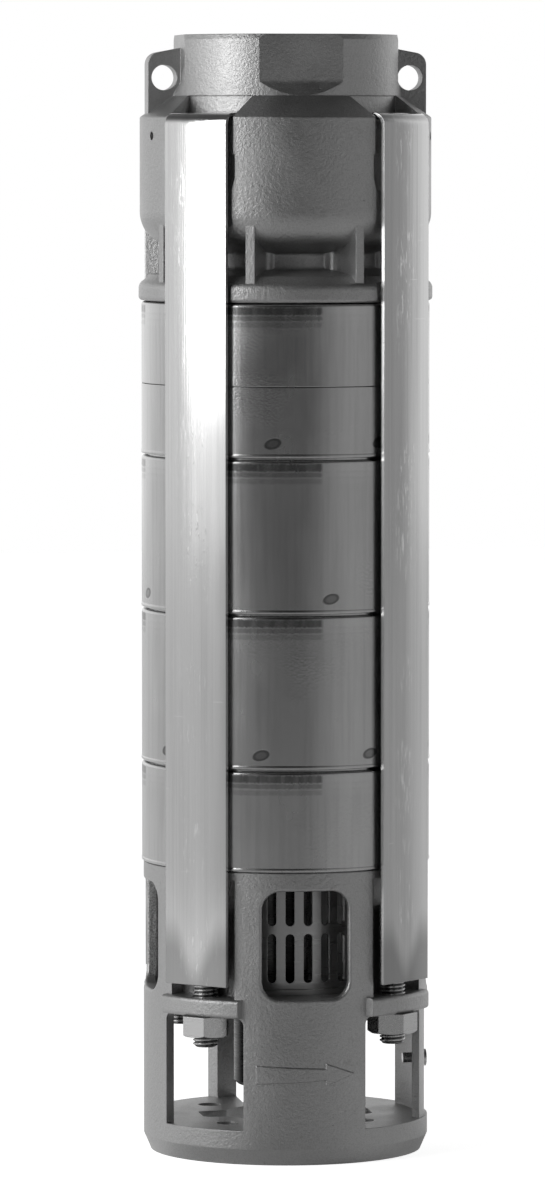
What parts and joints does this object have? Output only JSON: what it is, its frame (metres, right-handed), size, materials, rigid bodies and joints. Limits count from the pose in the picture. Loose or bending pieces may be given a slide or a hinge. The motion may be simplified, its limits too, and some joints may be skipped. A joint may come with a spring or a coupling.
{
  "type": "submersible pump end",
  "caption": "Slim stainless borehole pump end: stacked stage chambers between a slotted suction casing and a threaded discharge casing, held by side straps, with a rotor and check valve.",
  "frame": {"origin": "on the shaft axis, at the underside of the motor flange's rim", "axes": "+Z along the shaft towards the discharge; pillars, windows and lifting ears on X and Y, ears on X, motor lead notch on +Y"},
  "size_m": [0.1158, 0.1158, 0.44],
  "materials": {
    "cast_steel": "blasted investment casting",
    "chamber_steel": "brushed round the shaft",
    "strap_steel": "rolled, brushed lengthwise",
    "sheet_steel": "pressed sheet",
    "machined_steel": "machined",
    "rubber": "moulded"
  },
  "bodies": {
    "casing": {"suction_casing": "cast_steel", "strainer": "sheet_steel", "bottom_chamber": "chamber_steel", "chamber_1": "chamber_steel", "chamber_2": "chamber_steel", "short_chamber": "chamber_steel", "top_chamber": "chamber_steel", "guide_vanes_1": "sheet_steel", "guide_vanes_2": "sheet_steel", "guide_vanes_3": "sheet_steel", "neck_ring_1": "rubber", "neck_ring_2": "rubber", "neck_ring_3": "rubber", "bearing_1": "rubber", "bearing_2": "rubber", "bearing_3": "rubber", "valve_casing": "cast_steel", "valve_seat": "machined_steel", "valve_cage": "cast_steel", "strap_right_front": "strap_steel", "strap_right_back": "strap_steel", "strap_left_back": "strap_steel", "strap_left_front": "strap_steel", "strap_stud_right_front": "machined_steel", "strap_stud_right_back": "machined_steel", "strap_stud_left_back": "machined_steel", "strap_stud_left_front": "machined_steel", "strap_nuts": "machined_steel", "guard_screw": "machined_steel"},
    "rotor": {"shaft": "machined_steel", "coupling": "machined_steel", "stop_ring": "machined_steel", "impeller_1": "sheet_steel", "impeller_2": "sheet_steel", "impeller_3": "sheet_steel", "split_cone_1": "machined_steel", "split_cone_2": "machined_steel", "split_cone_3": "machined_steel", "cone_nut_1": "machined_steel", "cone_nut_2": "machined_steel", "cone_nut_3": "machined_steel"},
    "valve": {"valve_cup": "sheet_steel", "valve_seal": "rubber", "lift_stop": "machined_steel"}
  },
  "joints": [
    {"name": "rotor_spin", "type": "hinge", "parent": "casing", "child": "rotor", "pos_m": [0, 0, 0.1], "axis": [0, 0, 1], "continuous": true},
    {"name": "valve_travel", "type": "slide", "parent": "casing", "child": "valve", "axis": [0, 0, 1], "range_m": [0, 0.016]}
  ]
}
